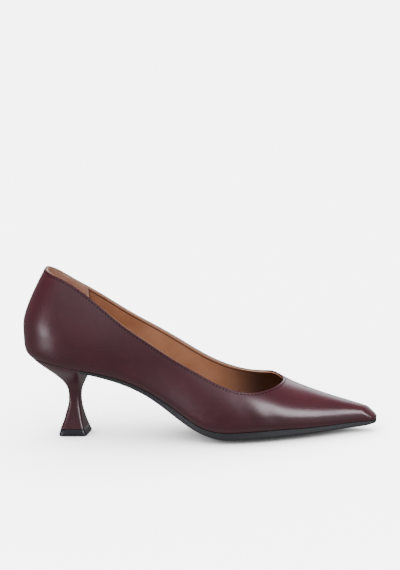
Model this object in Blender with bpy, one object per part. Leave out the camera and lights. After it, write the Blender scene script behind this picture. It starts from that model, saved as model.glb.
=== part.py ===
"""Right court shoe with a pointed, snipped toe, a low topline and a waisted spool heel.

Sizes are in metres. +X runs from the heel to the toe, +Y to the inner side of the foot and +Z up.
The origin is the middle of the heel tip's face on the ground.
"""
import math
from collections import namedtuple

import bmesh
import bpy
import numpy as np

# Lengths of the whole shoe
LENGTH = 0.2476
BALL_WIDTH = 0.072
HEEL_HEIGHT = 0.0570
BALL_EDGE_HEIGHT = 0.0087
COUNTER_HEIGHT = 0.0665
# Places along the shoe, as shares of its length
HEEL_CENTRE_SHARE = 0.13126
THROAT_SHARE = 0.7403
SKEW_FROM_SHARE = 0.8231
HEEL_CENTRE = HEEL_CENTRE_SHARE * LENGTH

# Upper
WALL = 0.0018
THROAT_AT = THROAT_SHARE * LENGTH
TOPLINE_BACK_LEAN = 0.0181
BACK_TURN_IN = 0.0050
LEAN_SOFTNESS = 0.012
TOE_CAP_LENGTH = 0.0080
TOE_ROUNDING = 0.66
TOE_ROUNDING_POWER = 1.5
SNIP_SKEW = 0.28
SKEW_FROM = SKEW_FROM_SHARE * LENGTH

# Sole, insole and heel
GAP = 0.0003
INSOLE_THICKNESS = 0.0020
OUTSOLE_EDGE = 0.0050
SOLE_BELLY = 0.0034
BREAST_AHEAD = 0.0119
BREAST_AT = HEEL_CENTRE + BREAST_AHEAD
# The heel's front and the outsole's end stand further forward on the inner side, by this slope
BREAST_SKEW = 0.10
SEAT_INSET = 0.0002
NECK_HEIGHT = 0.0280
NECK_LENGTH = 0.0089
NECK_WIDTH = 0.0096
NECK_AHEAD = 0.00165
TIP_LENGTH = 0.0214
TIP_WIDTH = 0.0190
TIP_THICKNESS = 0.0053
TIP_BEVEL = 0.0004

# Roundness of the plan outlines: 2 is an ellipse and more is squarer
BACK_ROUNDNESS = 2.2
TOE_ROUNDNESS = 4.5
# How sharply the wall turns in to the feather edge, along the sides and at the middle of the back
TURN_IN_POWER = 4
BACK_TURN_IN_POWER = 6
# Over how many steps of the wall the outsole's sections lose the slope of the breast
BREAST_SLOPE_FADES = 0.25
# Points closer than this are one point
SAME_PLACE = 0.000002

# The last, from the back to the toe. Places are shares of LENGTH and half widths shares of BALL_WIDTH.
# rise is the feather edge's share of the heel's rise, widest and ridge are heights over that edge as
# shares of COUNTER_HEIGHT, and fullness is the roundness of the section over its widest line.
Section = namedtuple(
    "Section", "at rise edge_outer edge_inner wide_outer wide_inner widest ridge ridge_inward lean fullness")
SECTIONS = (
    Section(0.000, 1.020, 0.305, 0.305, 0.347, 0.347, 0.331, 1.712, 0.000, 0.248, 2.00),
    Section(0.060, 1.022, 0.319, 0.319, 0.361, 0.361, 0.304, 1.657, 0.000, 0.248, 2.00),
    Section(0.120, 0.964, 0.326, 0.326, 0.368, 0.368, 0.274, 1.612, 0.000, 0.248, 2.00),
    Section(0.200, 0.874, 0.319, 0.306, 0.368, 0.361, 0.256, 1.504, 0.005, 0.248, 2.00),
    Section(0.300, 0.720, 0.299, 0.257, 0.354, 0.340, 0.226, 1.383, 0.015, 0.195, 2.00),
    Section(0.380, 0.515, 0.313, 0.236, 0.375, 0.333, 0.211, 1.323, 0.025, 0.140, 2.00),
    Section(0.450, 0.278, 0.361, 0.271, 0.417, 0.354, 0.195, 1.203, 0.033, 0.120, 2.00),
    Section(0.510, 0.083, 0.417, 0.347, 0.465, 0.410, 0.180, 1.053, 0.040, 0.105, 2.00),
    Section(0.570, 0.004, 0.449, 0.414, 0.493, 0.461, 0.173, 0.857, 0.045, 0.090, 2.00),
    Section(0.640, 0.000, 0.435, 0.458, 0.479, 0.500, 0.165, 0.654, 0.048, 0.020, 2.00),
    Section(0.700, 0.002, 0.393, 0.458, 0.435, 0.493, 0.150, 0.520, 0.046, 0.000, 2.00),
    Section(0.750, 0.000, 0.340, 0.413, 0.378, 0.444, 0.128, 0.415, 0.042, 0.000, 2.00),
    Section(0.810, -0.010, 0.268, 0.317, 0.300, 0.344, 0.113, 0.335, 0.035, 0.000, 2.00),
    Section(0.880, -0.014, 0.169, 0.208, 0.194, 0.232, 0.090, 0.250, 0.029, 0.000, 2.20),
    Section(0.940, -0.014, 0.083, 0.132, 0.103, 0.149, 0.075, 0.182, 0.025, 0.000, 2.50),
    Section(1.000, -0.012, 0.020, 0.070, 0.035, 0.085, 0.064, 0.112, 0.024, 0.000, 2.60),
)

# The topline, from the back to the throat, as shares of the height from the widest line to the ridge
Topline = namedtuple("Topline", "at outer inner")
TOPLINE = (
    Topline(TOPLINE_BACK_LEAN / LENGTH, 0.500, 0.500),
    Topline(0.120, 0.500, 0.447),
    Topline(0.200, 0.450, 0.393),
    Topline(0.300, 0.340, 0.328),
    Topline(0.380, 0.317, 0.330),
    Topline(0.450, 0.369, 0.382),
    Topline(0.510, 0.460, 0.440),
    Topline(0.570, 0.504, 0.477),
    Topline(0.640, 0.545, 0.535),
    Topline(0.680, 0.630, 0.670),
    Topline(0.705, 0.745, 0.830),
    Topline(0.723, 0.860, 0.930),
)

# The outsole, from the breast to the toe, as shares of OUTSOLE_EDGE and SOLE_BELLY
Sole = namedtuple("Sole", "at edge belly")
SOLE = (
    Sole(0.18, 0.40, 0.20),
    Sole(0.30, 0.62, 0.35),
    Sole(0.38, 0.82, 0.50),
    Sole(0.45, 1.08, 0.60),
    Sole(0.51, 0.92, 0.80),
    Sole(0.57, 1.02, 1.00),
    Sole(0.65, 1.08, 1.00),
    Sole(0.75, 1.04, 0.92),
    Sole(0.82, 0.86, 0.68),
    Sole(0.90, 0.70, 0.42),
    Sole(0.95, 0.65, 0.28),
    Sole(0.98, 0.54, 0.18),
    Sole(1.00, 0.34, 0.08),
)

# The heel over its neck, from the neck to the seat. up is a share of the height between them, and
# back, front and side are shares of the way from the neck's reach to the seat's.
Ring = namedtuple("Ring", "up back front side square_back square_front")
SPOOL = (
    Ring(0.000, 0.000, 0.000, 0.000, 2.4, 3.0),
    Ring(0.145, 0.005, 0.080, 0.030, 2.3, 3.0),
    Ring(0.285, 0.050, 0.260, 0.096, 2.2, 3.0),
    Ring(0.418, 0.150, 0.510, 0.190, 2.2, 3.5),
    Ring(0.550, 0.312, 0.735, 0.350, 2.2, 4.0),
    Ring(0.670, 0.500, 0.855, 0.530, 2.2, 5.0),
    Ring(0.780, 0.690, 0.920, 0.720, 2.2, 6.0),
    Ring(0.890, 0.860, 0.955, 0.890, 2.2, 8.0),
    Ring(1.000, 1.000, 1.000, 1.000, 2.2, 10.0),
)
# The heel under its neck, from the neck to the ground, with down in place of up and the heel tip in
# place of the seat
FLARE = (
    Ring(0.000, 0.000, 0.000, 0.000, 2.4, 3.0),
    Ring(0.143, 0.030, -0.040, 0.020, 2.8, 3.6),
    Ring(0.393, 0.268, 0.080, 0.255, 3.8, 5.0),
    Ring(0.607, 0.506, 0.280, 0.530, 5.0, 7.0),
    Ring(0.811, 0.805, 0.580, 0.830, 5.8, 9.0),
    Ring(1.000, 1.000, 0.960, 1.000, 6.5, 10.0),
)

# Colours and finishes, linear
BURGUNDY = (0.060, 0.018, 0.024, 1.0)
TAN = (0.360, 0.150, 0.060, 1.0)
SOLE_BLACK = (0.030, 0.030, 0.031, 1.0)
TIP_BLACK = (0.022, 0.022, 0.024, 1.0)


class Curve:
    """Natural cubic spline through a column of a table."""

    def __init__(self, places, values):
        self.x = np.array(places, float)
        self.y = np.array(values, float)
        step = np.diff(self.x)
        count = len(self.x)
        system = np.eye(count)
        right = np.zeros(count)
        for i in range(1, count - 1):
            system[i, i - 1:i + 2] = step[i - 1], 2 * (step[i - 1] + step[i]), step[i]
            right[i] = 6 * ((self.y[i + 1] - self.y[i]) / step[i] - (self.y[i] - self.y[i - 1]) / step[i - 1])
        self.bend = np.linalg.solve(system, right)

    def __call__(self, place):
        i = int(np.clip(np.searchsorted(self.x, place) - 1, 0, len(self.x) - 2))
        step = self.x[i + 1] - self.x[i]
        after = (place - self.x[i]) / step
        before = 1 - after
        cubic = (before ** 3 - before) * self.bend[i] + (after ** 3 - after) * self.bend[i + 1]
        return float(before * self.y[i] + after * self.y[i + 1] + cubic * step * step / 6)


def column(table, name, size=1.0, length=LENGTH):
    """A table's column as a curve over metres along the shoe, its values being shares of size."""
    places = [row[0] * length for row in table]
    return Curve(places, [getattr(row, name) * size for row in table])


RISE = column(SECTIONS, "rise", HEEL_HEIGHT - BALL_EDGE_HEIGHT)
EDGE = {-1: column(SECTIONS, "edge_outer", BALL_WIDTH), 1: column(SECTIONS, "edge_inner", BALL_WIDTH)}
WIDE = {-1: column(SECTIONS, "wide_outer", BALL_WIDTH), 1: column(SECTIONS, "wide_inner", BALL_WIDTH)}
WIDEST = column(SECTIONS, "widest", COUNTER_HEIGHT)
RIDGE = column(SECTIONS, "ridge", COUNTER_HEIGHT)
RIDGE_INWARD = column(SECTIONS, "ridge_inward", BALL_WIDTH)
LEAN = column(SECTIONS, "lean")
FULLNESS = column(SECTIONS, "fullness")
THROAT = Topline(THROAT_AT / LENGTH, 1.0, 1.0)
TOP_SHARE = {-1: column(TOPLINE + (THROAT,), "outer"), 1: column(TOPLINE + (THROAT,), "inner")}
SOLE_EDGE = column(SOLE, "edge", OUTSOLE_EDGE)
SOLE_DROP = column(SOLE, "belly", SOLE_BELLY)


def feather_height(along):
    """Height over the ground of the edge where the upper turns in under the last."""
    return BALL_EDGE_HEIGHT + RISE(along)


def is_open(along):
    """Whether the topline cuts the section there, behind the throat."""
    return along < THROAT_AT - SAME_PLACE


def top_turn(along, side):
    """Angle of the section's arch where the topline cuts it, a right angle being the ridge."""
    if not is_open(along):
        return math.pi / 2
    share = min(TOP_SHARE[side](max(along, TOPLINE_BACK_LEAN)), 1.0)
    return math.asin(share ** (FULLNESS(along) / 2))


def soft(height):
    """A height that starts slowly, so that the lean of the wall begins without a crease."""
    return math.hypot(height, LEAN_SOFTNESS) - LEAN_SOFTNESS


def section(along, side, level, inset=0.0):
    """Half width and height over the feather edge of the wall, or of its inside with an inset.

    Level 0 is the feather edge, 1 the widest line and 2 the topline or the ridge.
    """
    widest = WIDEST(along)
    wide = WIDE[side](along)
    if level <= 1:
        turned_in = (wide - EDGE[side](along)) * (1 - level) ** TURN_IN_POWER
        return wide - inset - turned_in, widest * level
    fullness = FULLNESS(along)
    turn = (level - 1) * top_turn(along, side)
    ridge_half = side * RIDGE_INWARD(along)
    height = (RIDGE(along) - inset - widest) * math.sin(turn) ** (2 / fullness)
    half = ridge_half + (wide - inset - ridge_half) * max(math.cos(turn), 0.0) ** (2 / fullness)
    lean = LEAN(along) if is_open(along) else 0.0
    return half - lean * soft(height), widest + height


def back_recess(level):
    """How far the middle of the back stands in from its furthest point."""
    if level <= 1:
        return BACK_TURN_IN * (1 - level) ** BACK_TURN_IN_POWER
    turn = top_turn(TOPLINE_BACK_LEAN, -1)
    height = (RIDGE(0) - WIDEST(0)) * math.sin((level - 1) * turn)
    full = (RIDGE(0) - WIDEST(0)) * math.sin(turn)
    return TOPLINE_BACK_LEAN * soft(height) / soft(full)


def wall_point(step, side, level, inset=0.0):
    """A point of the upper. Steps run from -1 at the back through 0 and 1 to 2 at the toe.

    The plan is rounded from -1 to 0 about the heel's middle and from 1 to 2 about the toe cap.
    """
    toe_cap_at = LENGTH - TOE_CAP_LENGTH
    along = HEEL_CENTRE + (toe_cap_at - HEEL_CENTRE) * step
    shift = 0.0
    narrowing = 1.0
    middle = 0.0
    lowering = 1.0
    if step < 0:
        turn = -step * math.pi / 2
        reach_share = math.sin(turn) ** (2 / BACK_ROUNDNESS)
        along = HEEL_CENTRE - (HEEL_CENTRE - back_recess(level)) * reach_share
        shift = inset * reach_share
        narrowing = max(math.cos(turn), 0.0) ** (2 / BACK_ROUNDNESS)
    elif step > 1:
        turn = (step - 1) * math.pi / 2
        reach_share = math.sin(turn) ** (2 / TOE_ROUNDNESS)
        along = toe_cap_at + TOE_CAP_LENGTH * reach_share
        shift = -inset * reach_share
        narrowing = max(math.cos(turn), 0.0) ** (2 / TOE_ROUNDNESS)
        middle = RIDGE_INWARD(along)
        lowering = 1 - TOE_ROUNDING * reach_share ** TOE_ROUNDING_POWER
    half, height = section(along, side, level, inset)
    across = middle + (side * half - middle) * narrowing
    skewing = min(max((along - SKEW_FROM) / (toe_cap_at - SKEW_FROM), 0.0), 1.0) ** 2
    skew = SNIP_SKEW * skewing * (across - RIDGE_INWARD(along))
    return np.array((along + shift + skew - HEEL_CENTRE, across, feather_height(along) + height * lowering))


def step_at(along):
    """The step of a place between the heel's middle and the toe cap."""
    return (along - HEEL_CENTRE) / (LENGTH - TOE_CAP_LENGTH - HEEL_CENTRE)


def spaced(start, end, count, power=1.0):
    """Values from start to end, without the end, that lie closer to the end with a power over 1."""
    return [end - (end - start) * (1 - i / count) ** power for i in range(count)]


def toe_steps():
    """Steps round the toe cap, set by their shares of its length and then round its flat end."""
    shares = (0.0, 0.18, 0.34, 0.49, 0.63, 0.75, 0.85, 0.93)
    steps = [1 + math.asin(share ** (TOE_ROUNDNESS / 2)) / (math.pi / 2) for share in shares]
    return steps + [1.77, 1.88, 2.0]


def upper_steps():
    """Steps of the upper's sections, close together at the throat and round the two ends."""
    steps = spaced(-1.0, 0.0, 9)
    dense_from = THROAT_AT - 0.036
    steps += spaced(0.0, step_at(dense_from), 14)
    steps += spaced(step_at(dense_from), step_at(THROAT_AT), 9, 2.0)
    steps += spaced(step_at(THROAT_AT), 1.0, 9)
    return steps + toe_steps()


def make_object(name, mesh_data, colour, roughness, sharp_angle=40):
    """An object from a bmesh, with its material and smooth shading up to the sharp angle."""
    bmesh.ops.remove_doubles(mesh_data, verts=mesh_data.verts, dist=SAME_PLACE)
    bmesh.ops.dissolve_degenerate(mesh_data, edges=mesh_data.edges, dist=SAME_PLACE)
    bmesh.ops.recalc_face_normals(mesh_data, faces=mesh_data.faces)
    mesh = bpy.data.meshes.new(name)
    mesh_data.to_mesh(mesh)
    mesh_data.free()
    mesh.shade_smooth()
    mesh.set_sharp_from_angle(angle=math.radians(sharp_angle))
    material = bpy.data.materials.new(name)
    material.use_nodes = True
    shader = material.node_tree.nodes["Principled BSDF"]
    shader.inputs["Base Color"].default_value = colour
    shader.inputs["Roughness"].default_value = roughness
    shader.inputs["Metallic"].default_value = 0.0
    mesh.materials.append(material)
    item = bpy.data.objects.new(name, mesh)
    bpy.context.scene.collection.objects.link(item)
    return item


def add_grid(mesh_data, rows):
    """Faces between rows of points, which all have the same number of points."""
    lines = [[mesh_data.verts.new(point) for point in row] for row in rows]
    for line, following in zip(lines, lines[1:]):
        for i in range(len(line) - 1):
            mesh_data.faces.new((line[i], line[i + 1], following[i + 1], following[i]))


def make_upper():
    """The leather upper: a hollow wall, open at the topline and underneath."""
    steps = upper_steps()
    levels = [0.0, 0.06, 0.14, 0.28, 0.52, 1.0] + [1 + i / 9 for i in range(1, 10)]
    mesh_data = bmesh.new()
    for side in (-1, 1):
        outside = [[wall_point(step, side, level) for level in levels] for step in steps]
        inside = [[wall_point(step, side, level, WALL) for level in levels] for step in steps]
        add_grid(mesh_data, outside)
        add_grid(mesh_data, inside)
        add_grid(mesh_data, [[out[0], within[0]] for out, within in zip(outside, inside)])
        open_steps = [i for i, step in enumerate(steps) if step <= step_at(THROAT_AT) + SAME_PLACE]
        add_grid(mesh_data, [[outside[i][-1], inside[i][-1]] for i in open_steps])
    return make_object("upper", mesh_data, BURGUNDY, 0.38)


def outline_point(step, side):
    """A point of the feather edge, where a step past either end goes on along the other side."""
    if step < -1:
        return wall_point(-2 - step, -side, 0)
    if step > 2:
        return wall_point(4 - step, -side, 0)
    return wall_point(step, side, 0)


def edge_point(step, side, inset, height=0.0):
    """A point in from the feather edge, square to the outline, at a height over the edge."""
    along = outline_point(step + 0.02, side) - outline_point(step - 0.02, side)
    inward = np.array((side * along[1], -side * along[0], 0.0))
    inward /= np.linalg.norm(inward)
    point = wall_point(step, side, 0) + inward * inset
    point[2] = feather_height(point[0] + HEEL_CENTRE) + height
    return point


def inside_clearance(along, side, height):
    """How far in from the feather edge the wall's inside stands, with the gap, at a height over it."""
    level = height / WIDEST(along)
    turned_in = WIDE[side](along) - EDGE[side](along)
    outward = turned_in * (1 - (1 - level) ** TURN_IN_POWER)
    slope = TURN_IN_POWER * turned_in / WIDEST(along) * (1 - level) ** (TURN_IN_POWER - 1)
    return WALL + GAP * math.hypot(1.0, slope) - outward


def make_insole():
    """The insole that closes the bottom of the upper from inside."""
    steps = spaced(-1.0, 0.0, 8) + spaced(0.0, 1.0, 26) + [1.0]
    low = GAP
    high = GAP + INSOLE_THICKNESS
    mesh_data = bmesh.new()
    rings = []
    for step in steps:
        ring = []
        for side in (-1, 1):
            along = wall_point(step, side, 0)[0] + HEEL_CENTRE
            bottom = edge_point(step, side, WALL + GAP, low)
            top = edge_point(step, side, inside_clearance(along, side, high) + GAP, high)
            ring.append((bottom, top) if side < 0 else (top, bottom))
        (outer_low, outer_high), (inner_high, inner_low) = ring
        rings.append([outer_low, outer_high, inner_high, inner_low, outer_low])
    add_grid(mesh_data, rings)
    mesh_data.faces.new([mesh_data.verts.new(point) for point in rings[-1][:4]])
    return make_object("insole", mesh_data, TAN, 0.6)


def outsole_underside(along, across_share):
    """Height of the outsole's underside. The share runs from 0 at the outer edge to 1 at the inner."""
    edge = feather_height(along) - GAP - SOLE_EDGE(along)
    crown = 1 - abs(2 * across_share - 1) ** 2.5
    return max(edge - SOLE_DROP(along) * crown, 0.0)


def breast_shift(step, start, side):
    """How many steps a section of the outsole is shifted on a side to follow the slope of the breast."""
    fading = max(1 - (step - start) / BREAST_SLOPE_FADES, 0.0) ** 2
    forward = BREAST_SKEW * side * EDGE[side](BREAST_AT)
    return (step_at(HEEL_CENTRE + forward) - step_at(HEEL_CENTRE)) * fading


def make_outsole():
    """The outsole from the heel's breast to the toe, with a flat spot under the ball."""
    start = step_at(BREAST_AT + GAP)
    steps = spaced(start, 1.0, 34) + toe_steps()
    shares = (0.0, 0.03, 0.1, 0.2, 0.32, 0.44, 0.56, 0.68, 0.8, 0.9, 0.97, 1.0)
    side_share = 0.7
    mesh_data = bmesh.new()
    rings = []
    for step in steps:
        outer, inner = [wall_point(step + breast_shift(step, start, side), side, 0) for side in (-1, 1)]
        outer[2] -= GAP
        inner[2] -= GAP
        under = []
        for share in shares:
            point = outer + (inner - outer) * share
            along = point[0] + HEEL_CENTRE
            if share in (0.0, 1.0):
                point[2] -= side_share * SOLE_EDGE(along)
            else:
                point[2] = outsole_underside(along, share)
            under.append(point)
        rings.append([outer] + under + [inner, outer])
    add_grid(mesh_data, rings)
    mesh_data.faces.new([mesh_data.verts.new(point) for point in rings[0][:-1]])
    return make_object("outsole", mesh_data, SOLE_BLACK, 0.55)


def heel_reaches(spread, seat_side):
    """Reaches back, front, outward and inward of a ring of the heel from the heel's centre."""
    neck = (NECK_LENGTH / 2 - NECK_AHEAD, NECK_LENGTH / 2 + NECK_AHEAD, NECK_WIDTH / 2, NECK_WIDTH / 2)
    if seat_side:
        seat_edge = [EDGE[side](HEEL_CENTRE) - SEAT_INSET for side in (-1, 1)]
        far = (HEEL_CENTRE - BACK_TURN_IN - SEAT_INSET, BREAST_AT - HEEL_CENTRE, *seat_edge)
    else:
        far = (TIP_LENGTH / 2, TIP_LENGTH / 2, TIP_WIDTH / 2, TIP_WIDTH / 2)
    shares = (spread.back, spread.front, spread.side, spread.side)
    return [near + (end - near) * share for near, end, share in zip(neck, far, shares)]


def ring_between(table, place):
    """A row of the heel's table at any place between its rows."""
    columns = {name: Curve([row.up for row in table], [getattr(row, name) for row in table])
               for name in Ring._fields[1:]}
    return Ring(place, *(columns[name](place) for name in Ring._fields[1:]))


def heel_ring(height, count=10, shrink=0.0):
    """Closed outline of the heel at a height over the ground, measured at the heel's centre."""
    seat = feather_height(HEEL_CENTRE) - GAP
    over_neck = height >= NECK_HEIGHT
    if over_neck:
        place = (height - NECK_HEIGHT) / (seat - NECK_HEIGHT)
        spread = ring_between(SPOOL, place)
    else:
        place = (NECK_HEIGHT - height) / NECK_HEIGHT
        spread = ring_between(FLARE, place)
    back, front, outer, inner = [reach - shrink for reach in heel_reaches(spread, over_neck)]
    points = []
    for i in range(4 * count):
        turn = i * math.pi / (2 * count)
        cosine, sine = math.cos(turn), math.sin(turn)
        square = spread.square_front if cosine > 0 else spread.square_back
        half = outer if sine < 0 else inner
        y = math.copysign(abs(sine) ** (2 / square), sine) * half
        reach = front + BREAST_SKEW * y if cosine > 0 else back
        x = math.copysign(abs(cosine) ** (2 / square), cosine) * reach
        slope = feather_height(HEEL_CENTRE + x) - feather_height(HEEL_CENTRE)
        tilt = slope * place if over_neck else 0.0
        points.append((x, y, height + tilt))
    return points


def close_ring(mesh_data, ring):
    """Strips across a ring that is alike on both sides of its middle line."""
    half = len(ring) // 2
    ones = [ring[i] for i in range(half + 1)]
    others = [ring[-i] for i in range(half + 1)]
    add_grid(mesh_data, [[one, other] for one, other in zip(ones, others)])


def stacked(mesh_data, rings):
    """A closed solid from rings stacked on each other."""
    add_grid(mesh_data, [ring + ring[:1] for ring in rings])
    close_ring(mesh_data, rings[0])
    close_ring(mesh_data, rings[-1])


def make_heel():
    """The spool heel block, from its seat under the upper to the heel tip."""
    seat = feather_height(HEEL_CENTRE) - GAP
    heights = spaced(TIP_THICKNESS, NECK_HEIGHT, 8) + spaced(NECK_HEIGHT, seat, 11) + [seat]
    mesh_data = bmesh.new()
    stacked(mesh_data, [heel_ring(height) for height in heights])
    return make_object("heel", mesh_data, BURGUNDY, 0.34)


def make_heel_tip():
    """The heel tip, which stands on the ground."""
    top = TIP_THICKNESS - GAP
    mesh_data = bmesh.new()
    rings = [heel_ring(0.0, shrink=TIP_BEVEL), heel_ring(TIP_BEVEL), heel_ring(top / 2), heel_ring(top)]
    stacked(mesh_data, rings)
    return make_object("heel_tip", mesh_data, TIP_BLACK, 0.5, 30)


def main():
    """Clear the file and make every piece."""
    for item in list(bpy.data.objects):
        bpy.data.objects.remove(item)
    make_upper()
    make_insole()
    make_outsole()
    make_heel()
    make_heel_tip()


main()
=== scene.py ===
"""Looks of a right heeled court shoe in burgundy calf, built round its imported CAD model."""
import math
from collections import namedtuple

import bpy
import numpy as np
from bpy.props import FloatProperty, FloatVectorProperty, PointerProperty
from mathutils import Matrix, Vector
from mathutils.bvhtree import BVHTree


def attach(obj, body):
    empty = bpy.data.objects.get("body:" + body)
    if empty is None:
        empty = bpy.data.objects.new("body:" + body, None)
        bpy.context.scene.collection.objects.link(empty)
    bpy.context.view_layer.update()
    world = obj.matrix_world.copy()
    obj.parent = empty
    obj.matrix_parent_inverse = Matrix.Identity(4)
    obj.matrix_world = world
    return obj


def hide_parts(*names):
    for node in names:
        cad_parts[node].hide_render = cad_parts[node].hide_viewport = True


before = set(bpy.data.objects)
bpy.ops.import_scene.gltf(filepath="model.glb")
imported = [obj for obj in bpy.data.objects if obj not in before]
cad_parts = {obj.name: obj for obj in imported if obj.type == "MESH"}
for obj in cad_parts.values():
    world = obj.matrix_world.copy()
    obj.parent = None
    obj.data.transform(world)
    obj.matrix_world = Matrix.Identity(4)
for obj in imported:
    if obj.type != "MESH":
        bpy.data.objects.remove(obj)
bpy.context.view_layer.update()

bl_info = {
    "name": "Heeled court shoe",
    "version": (1, 0, 0),
    "blender": (4, 5, 0),
    "location": "View3D > Sidebar > Court shoe",
    "description": "Upper, lining, sole, heel and studio of a heeled court shoe",
    "category": "Add Mesh",
}

MM = 0.001

# Sizes that the looks share with the solids
LENGTH = 0.2476
BALL_WIDTH = 0.072
HEEL_HEIGHT = 0.0570
BALL_EDGE_HEIGHT = 0.0087
COUNTER_HEIGHT = 0.0665
HEEL_CENTRE = 0.13126 * LENGTH
WALL = 0.0018
THROAT_AT = 0.7403 * LENGTH
TOPLINE_BACK_LEAN = 0.0181
BACK_TURN_IN = 0.0050
LEAN_SOFTNESS = 0.012
TOE_CAP_LENGTH = 0.0080
TOE_ROUNDING = 0.66
TOE_ROUNDING_POWER = 1.5
SNIP_SKEW = 0.28
SKEW_FROM = 0.8231 * LENGTH
GAP = 0.0003
INSOLE_THICKNESS = 0.0020
OUTSOLE_EDGE = 0.0050
SOLE_BELLY = 0.0034
BREAST_AT = HEEL_CENTRE + 0.0119
BREAST_SKEW = 0.10
BREAST_SLOPE_FADES = 0.25
SEAT_INSET = 0.0002
NECK_HEIGHT = 0.0280
NECK_LENGTH = 0.0089
NECK_WIDTH = 0.0096
NECK_AHEAD = 0.00165
TIP_LENGTH = 0.0214
TIP_WIDTH = 0.0190
TIP_THICKNESS = 0.0053
BACK_ROUNDNESS = 2.2
TOE_ROUNDNESS = 4.5
TURN_IN_POWER = 4
BACK_TURN_IN_POWER = 6
TOE_CAP_AT = LENGTH - TOE_CAP_LENGTH

# The last, from the back to the toe, in shares as in the solids' source
Section = namedtuple(
    "Section", "at rise edge_outer edge_inner wide_outer wide_inner widest ridge ridge_inward lean fullness")
SECTIONS = (
    Section(0.000, 1.020, 0.305, 0.305, 0.347, 0.347, 0.331, 1.712, 0.000, 0.248, 2.00),
    Section(0.060, 1.022, 0.319, 0.319, 0.361, 0.361, 0.304, 1.657, 0.000, 0.248, 2.00),
    Section(0.120, 0.964, 0.326, 0.326, 0.368, 0.368, 0.274, 1.612, 0.000, 0.248, 2.00),
    Section(0.200, 0.874, 0.319, 0.306, 0.368, 0.361, 0.256, 1.504, 0.005, 0.248, 2.00),
    Section(0.300, 0.720, 0.299, 0.257, 0.354, 0.340, 0.226, 1.383, 0.015, 0.195, 2.00),
    Section(0.380, 0.515, 0.313, 0.236, 0.375, 0.333, 0.211, 1.323, 0.025, 0.140, 2.00),
    Section(0.450, 0.278, 0.361, 0.271, 0.417, 0.354, 0.195, 1.203, 0.033, 0.120, 2.00),
    Section(0.510, 0.083, 0.417, 0.347, 0.465, 0.410, 0.180, 1.053, 0.040, 0.105, 2.00),
    Section(0.570, 0.004, 0.449, 0.414, 0.493, 0.461, 0.173, 0.857, 0.045, 0.090, 2.00),
    Section(0.640, 0.000, 0.435, 0.458, 0.479, 0.500, 0.165, 0.654, 0.048, 0.020, 2.00),
    Section(0.700, 0.002, 0.393, 0.458, 0.435, 0.493, 0.150, 0.520, 0.046, 0.000, 2.00),
    Section(0.750, 0.000, 0.340, 0.413, 0.378, 0.444, 0.128, 0.415, 0.042, 0.000, 2.00),
    Section(0.810, -0.010, 0.268, 0.317, 0.300, 0.344, 0.113, 0.335, 0.035, 0.000, 2.00),
    Section(0.880, -0.014, 0.169, 0.208, 0.194, 0.232, 0.090, 0.250, 0.029, 0.000, 2.20),
    Section(0.940, -0.014, 0.083, 0.132, 0.103, 0.149, 0.075, 0.182, 0.025, 0.000, 2.50),
    Section(1.000, -0.012, 0.020, 0.070, 0.035, 0.085, 0.064, 0.112, 0.024, 0.000, 2.60),
)

Topline = namedtuple("Topline", "at outer inner")
TOPLINE = (
    Topline(TOPLINE_BACK_LEAN / LENGTH, 0.500, 0.500),
    Topline(0.120, 0.500, 0.447),
    Topline(0.200, 0.450, 0.393),
    Topline(0.300, 0.340, 0.328),
    Topline(0.380, 0.317, 0.330),
    Topline(0.450, 0.369, 0.382),
    Topline(0.510, 0.460, 0.440),
    Topline(0.570, 0.504, 0.477),
    Topline(0.640, 0.545, 0.535),
    Topline(0.680, 0.630, 0.670),
    Topline(0.705, 0.745, 0.830),
    Topline(0.723, 0.860, 0.930),
    Topline(THROAT_AT / LENGTH, 1.0, 1.0),
)

Sole = namedtuple("Sole", "at edge belly")
SOLE = (
    Sole(0.18, 0.40, 0.20),
    Sole(0.30, 0.62, 0.35),
    Sole(0.38, 0.82, 0.50),
    Sole(0.45, 1.08, 0.60),
    Sole(0.51, 0.92, 0.80),
    Sole(0.57, 1.02, 1.00),
    Sole(0.65, 1.08, 1.00),
    Sole(0.75, 1.04, 0.92),
    Sole(0.82, 0.86, 0.68),
    Sole(0.90, 0.70, 0.42),
    Sole(0.95, 0.65, 0.28),
    Sole(0.98, 0.54, 0.18),
    Sole(1.00, 0.34, 0.08),
)

Ring = namedtuple("Ring", "up back front side square_back square_front")
SPOOL = (
    Ring(0.000, 0.000, 0.000, 0.000, 2.4, 3.0),
    Ring(0.145, 0.005, 0.080, 0.030, 2.3, 3.0),
    Ring(0.285, 0.050, 0.260, 0.096, 2.2, 3.0),
    Ring(0.418, 0.150, 0.510, 0.190, 2.2, 3.5),
    Ring(0.550, 0.312, 0.735, 0.350, 2.2, 4.0),
    Ring(0.670, 0.500, 0.855, 0.530, 2.2, 5.0),
    Ring(0.780, 0.690, 0.920, 0.720, 2.2, 6.0),
    Ring(0.890, 0.860, 0.955, 0.890, 2.2, 8.0),
    Ring(1.000, 1.000, 1.000, 1.000, 2.2, 10.0),
)
FLARE = (
    Ring(0.000, 0.000, 0.000, 0.000, 2.4, 3.0),
    Ring(0.143, 0.030, -0.040, 0.020, 2.8, 3.6),
    Ring(0.393, 0.268, 0.080, 0.255, 3.8, 5.0),
    Ring(0.607, 0.506, 0.280, 0.530, 5.0, 7.0),
    Ring(0.811, 0.805, 0.580, 0.830, 5.8, 9.0),
    Ring(1.000, 1.000, 0.960, 1.000, 6.5, 10.0),
)


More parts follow.
